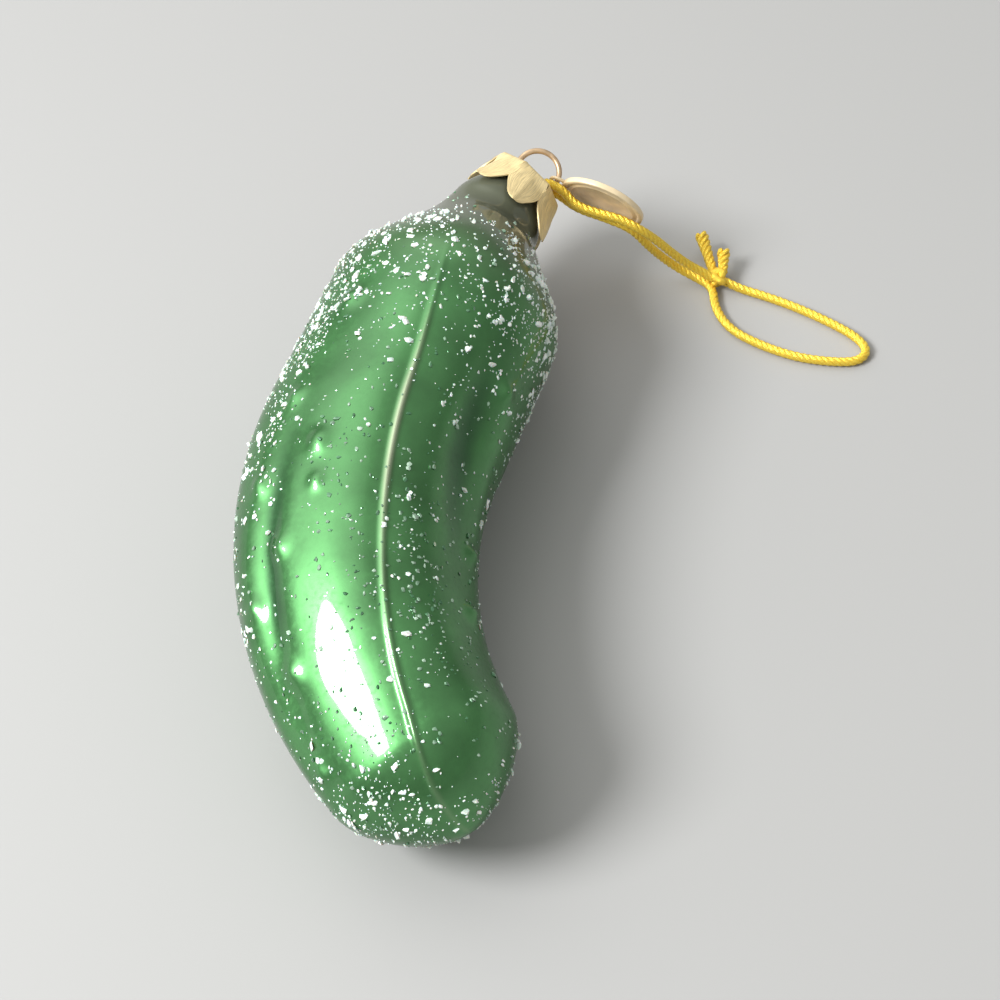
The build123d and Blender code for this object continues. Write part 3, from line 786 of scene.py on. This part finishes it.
class ORNAMENT_OT_hanger(bpy.types.Operator):
    """Make the wire loop with its two straight legs"""

    bl_idname = "ornament.hanger"
    bl_label = "Hanger"

    def execute(self, context):
        cap = context.scene.ornament_cap
        turn = np.linspace(np.pi, 0.0, 60)
        bow = np.stack([LOOP_RADIUS * np.cos(turn), LOOP_STAND + LOOP_RADIUS * np.sin(turn)], -1)
        heights = np.linspace(-LEG_DEPTH, LOOP_STAND, 30)[:-1]
        left_leg = np.stack([np.full_like(heights, -LOOP_RADIUS), heights], -1)
        line = np.concatenate([left_leg, bow, (left_leg * (-1, 1))[::-1]])
        path = CAP_TOP + LEG_WAY * line[:, :1] + OUT_WAY * line[:, 1:]
        material = worn_metal(
            "copper_gold_wire", cap.wire_gold, 0.65, 0.36, (700.0, 3.0), 0.6, 0.62, (0.12, 0.0001))
        made = mesh_object("wire_loop", tube(path, cap.wire_radius / MM, 20), material)
        dress(made, "hanger", "wire_metal", "hanger_wire")
        return {"FINISHED"}


class ORNAMENT_OT_tag(bpy.types.Operator):
    """Make the blank round tag with its rim, groove, inner ring and eye"""

    bl_idname = "ornament.tag"
    bl_label = "Tag"

    def execute(self, context):
        cap = context.scene.ornament_cap
        half = TAG_PLATE / 2
        face = np.array([
            (0.0, half), (4.25, half), (4.4, half + 0.07), (4.6, half + 0.07), (4.75, half),
            (5.15, half - 0.05), (5.3, half + 0.1), (5.42, half + 0.15), (5.75, half + 0.15),
            (TAG_RADIUS - 0.04, half + 0.08), (TAG_RADIUS, half - 0.05),
        ])
        profile = np.concatenate([face, (face * (1, -1))[::-1]])
        eye_way = np.linspace(0.0, 2 * np.pi, 20, endpoint=False)
        middle, wide = (TAG_EYE_RADIUS + TAG_HOLE_RADIUS) / 2, (TAG_EYE_RADIUS - TAG_HOLE_RADIUS) / 2
        eye = np.stack([middle + wide * np.cos(eye_way), half * 0.95 * np.sin(eye_way)], -1)
        hole = TAG_PIVOT + TAG_OUTWARDS * (TAG_HOLE_RADIUS - cap.wire_radius / MM - TAG_SEAT_GAP)
        centre = hole + TAG_OUTWARDS * (TAG_RADIUS + TAG_EYE_OFFSET)
        ways = (TAG_OUTWARDS, ACROSS_WAY, TAG_NORMAL)
        piece = joined([revolved(profile, centre, *ways), revolved(eye, hole, *ways, close=True)])
        material = worn_metal(
            "dull_tag_gold", cap.tag_gold, 0.15, 0.42, (450.0, 5.0), 0.78, 0.65, (0.2, 0.0002))
        dress(mesh_object("round_tag", piece, material, sharp=35.0), "tag", "tag_metal", "hang_tag")
        return {"FINISHED"}


def from_leg(place):
    """Point given from the wire's leg in x and y and from the floor in z."""
    return np.array([CORD_LEG[0] + place[0], CORD_LEG[1] + place[1], place[2]])


def cord_points():
    """Corners of the cord's route: knot, upper strand, bight round the leg, lower strand, far loop, knot."""
    side = ACROSS_WAY * BIGHT_HALF
    near, far = TAG_OUTWARDS * BIGHT_REACH, -TAG_OUTWARDS * BIGHT_HALF
    bight = [CORD_LEG + near - side, CORD_LEG + far - side, CORD_LEG + far + side, CORD_LEG + near + side]
    return [from_leg(p) for p in UPPER_STRAND] + bight + [from_leg(p) for p in LOWER_STRAND + FAR_LOOP]


def spline_path(points):
    """Points along a NURBS spline of order 3 that has the given points as its control points."""
    curve = bpy.data.curves.new("cord_route", "CURVE")
    curve.dimensions = "3D"
    curve.resolution_u = 16
    spline = curve.splines.new("NURBS")
    spline.points.add(len(points) - 1)
    for point, place in zip(spline.points, points):
        point.co = (*(place * MM), 1.0)
    spline.order_u = 3
    spline.use_endpoint_u = True
    route = bpy.data.objects.new("cord_route", curve)
    bpy.context.scene.collection.objects.link(route)
    line = bpy.data.meshes.new_from_object(route)
    path = np.array([vertex.co for vertex in line.vertices]) / MM
    bpy.data.objects.remove(route)
    bpy.data.curves.remove(curve)
    bpy.data.meshes.remove(line)
    return path


def yarn_material(cord):
    """Metallic yarn: fibres along each strand from orange gold to pale yellow."""
    material, tree, shader = finish_of("metallic_gold_yarn", cord.yarn_gold, 0.55, 0.26)
    fibres = noise_of(tree, 40.0, 3.0, "UV", (1.0, 14.0, 1.0))
    deep = tuple(share * c for share, c in zip((0.78, 0.56, 0.4), cord.yarn_gold))
    pale = tuple(min(1.0, 1.15 * c + 0.14) for c in cord.yarn_gold)
    colour = ramp_of(tree, fibres, (0.3, deep), (0.5, cord.yarn_gold), (0.72, pale))
    tree.links.new(colour, shader.inputs["Base Color"])
    bump_of(tree, shader, fibres, 0.5, 0.0002)
    return material


def knot_path():
    """Trefoil: (sin t + 2 sin 2t, cos t - 2 cos 2t, -sin 3t), flattened to the size of the tied knot."""
    t = np.linspace(0.0, 2 * np.pi, 240, endpoint=False)
    x, y, z = np.sin(t) + 2 * np.sin(2 * t), np.cos(t) - 2 * np.cos(2 * t), -np.sin(3 * t)
    return from_leg(KNOT_PLACE) + np.stack([z * KNOT_THICK, x * KNOT_HALF, y * KNOT_HALF], -1)


class ORNAMENT_OT_cord(bpy.types.Operator):
    """Lay the twisted cord on its route, with its knot and two tails"""

    bl_idname = "ornament.cord"
    bl_label = "Cord"

    def execute(self, context):
        cord = context.scene.ornament_cord
        diameter, pitch = cord.diameter / MM, cord.pitch / MM
        material = yarn_material(cord)
        path = spline_path(cord_points())
        strands = mesh_object("cord_strands", twisted(path, diameter, pitch), material, sharp=180.0)
        dress(strands, "cord", "gold_cord", "hanging_cord")
        knot = tube(knot_path(), diameter * KNOT_CORD, 14, close=True)
        knot = mesh_object("tied_knot", knot, material, sharp=180.0)
        dress(knot, "cord", "gold_cord", "cord_knot")
        for name, ends in (("long", LONG_TAIL), ("short", SHORT_TAIL)):
            line = from_leg(KNOT_PLACE) + ends[0] + (ends[1] - ends[0]) * np.linspace(0, 1, 40)[:, None]
            tail = twisted(line, diameter, pitch, FRAYED)
            tail = mesh_object("cut_tail_" + name, tail, material, sharp=180.0)
            dress(tail, "cord", "gold_cord", "cord_tail_" + name)
        return {"FINISHED"}


def area_light(name, place, target, size, power):
    """Soft box at a place that faces a target."""
    data = bpy.data.lights.new(name, "AREA")
    data.shape = "ELLIPSE"
    data.size, data.size_y = size
    data.energy = power
    made = bpy.data.objects.new(name, data)
    way = np.array(target) - np.array(place)
    made.rotation_euler = Vector(way).to_track_quat("-Z", "Y").to_euler()
    made.location = place
    bpy.context.scene.collection.objects.link(made)


def studio_world(bright_way, bright, horizon, zenith):
    """Soft light from all round: it rises from horizon to zenith, with one side bright like a wide window."""
    world = bpy.data.worlds.new("studio")
    world.use_nodes = True
    tree = world.node_tree
    place = tree.nodes.new("ShaderNodeTexCoord")
    total = tree.nodes.new("ShaderNodeMath")
    for k, (way, start, end, low, high) in enumerate((
            (bright_way, 0.72, 1.0, 0.0, bright), ((0.0, 0.0, 1.0), 0.1, 0.75, horizon, zenith))):
        cosine = tree.nodes.new("ShaderNodeVectorMath")
        cosine.operation = "DOT_PRODUCT"
        cosine.inputs[1].default_value = way
        level = tree.nodes.new("ShaderNodeMapRange")
        level.interpolation_type = "SMOOTHSTEP"
        for key, value in (("From Min", start), ("From Max", end), ("To Min", low), ("To Max", high)):
            level.inputs[key].default_value = value
        tree.links.new(place.outputs["Generated"], cosine.inputs[0])
        tree.links.new(cosine.outputs["Value"], level.inputs["Value"])
        tree.links.new(level.outputs["Result"], total.inputs[k])
    tree.links.new(total.outputs["Value"], tree.nodes["Background"].inputs["Strength"])
    tree.nodes["Background"].inputs["Color"].default_value = (1.0, 1.0, 0.97, 1.0)
    return world


class ORNAMENT_OT_stage(bpy.types.Operator):
    """Set up the camera, the pale floor and the studio light"""

    bl_idname = "ornament.stage"
    bl_label = "Stage"

    def execute(self, context):
        stage = context.scene.ornament_stage
        camera = bpy.data.cameras.new("camera")
        camera.lens, camera.sensor_width = stage.lens, 36.0
        camera.clip_start = 0.01
        made = bpy.data.objects.new("camera", camera)
        tilt = Matrix.Rotation(np.radians(90 - CAMERA_LOOKS_DOWN), 4, "X")
        roll = Matrix.Rotation(np.radians(CAMERA_ROLL), 4, "Z")
        made.matrix_world = Matrix.Translation(CAMERA_PLACE) @ tilt @ roll
        context.scene.collection.objects.link(made)
        context.scene.camera = made
        context.scene.view_settings.view_transform = "Standard"

        floor = bpy.data.meshes.new("floor")
        corners = np.array([(-1, -1, 0), (1, -1, 0), (1, 1, 0), (-1, 1, 0)]) * FLOOR_HALF
        floor.from_pydata(corners.tolist(), [], [(0, 1, 2, 3)])
        material, _, _ = finish_of("pale_floor", stage.floor, 0.0, 0.8)
        floor.materials.append(material)
        ground = bpy.data.objects.new("floor", floor)
        context.scene.collection.objects.link(ground)

        area_light("key_light", KEY_PLACE, KEY_TARGET, KEY_SIZE, stage.key_power)
        context.scene.world = studio_world(WINDOW_WAY, WINDOW_LIGHT, HORIZON_LIGHT, ZENITH_LIGHT)
        return {"FINISHED"}


class ORNAMENT_PT_panel(bpy.types.Panel):
    """Steps that dress the ornament"""

    bl_label = "Pickle Ornament"
    bl_idname = "ORNAMENT_PT_panel"
    bl_space_type = "VIEW_3D"
    bl_region_type = "UI"
    bl_category = "Ornament"

    def draw(self, context):
        for step in STEPS:
            self.layout.operator(step.bl_idname)
        for settings in GROUPS:
            box = self.layout.box()
            group = getattr(context.scene, settings)
            for key in group.__annotations__:
                box.prop(group, key)


GROUPS = {
    "ornament_glass": OrnamentGlass,
    "ornament_cap": OrnamentCap,
    "ornament_cord": OrnamentCord,
    "ornament_stage": OrnamentStage,
}
STEPS = (
    ORNAMENT_OT_stage,
    ORNAMENT_OT_cord,
    ORNAMENT_OT_glass,
    ORNAMENT_OT_grains,
    ORNAMENT_OT_cap,
    ORNAMENT_OT_hanger,
    ORNAMENT_OT_tag,
)


def register():
    for cls in (*GROUPS.values(), *STEPS, ORNAMENT_PT_panel):
        bpy.utils.register_class(cls)
    for name, cls in GROUPS.items():
        setattr(bpy.types.Scene, name, bpy.props.PointerProperty(type=cls))


def unregister():
    for name in GROUPS:
        delattr(bpy.types.Scene, name)
    for cls in (ORNAMENT_PT_panel, *reversed(STEPS), *GROUPS.values()):
        bpy.utils.unregister_class(cls)


def main():
    register()
    bpy.ops.ornament.stage()
    bpy.ops.ornament.cord()
    bpy.ops.ornament.glass()
    bpy.ops.ornament.grains()
    bpy.ops.ornament.cap()
    bpy.ops.ornament.hanger()
    bpy.ops.ornament.tag()


if __name__ == "__main__":
    main()
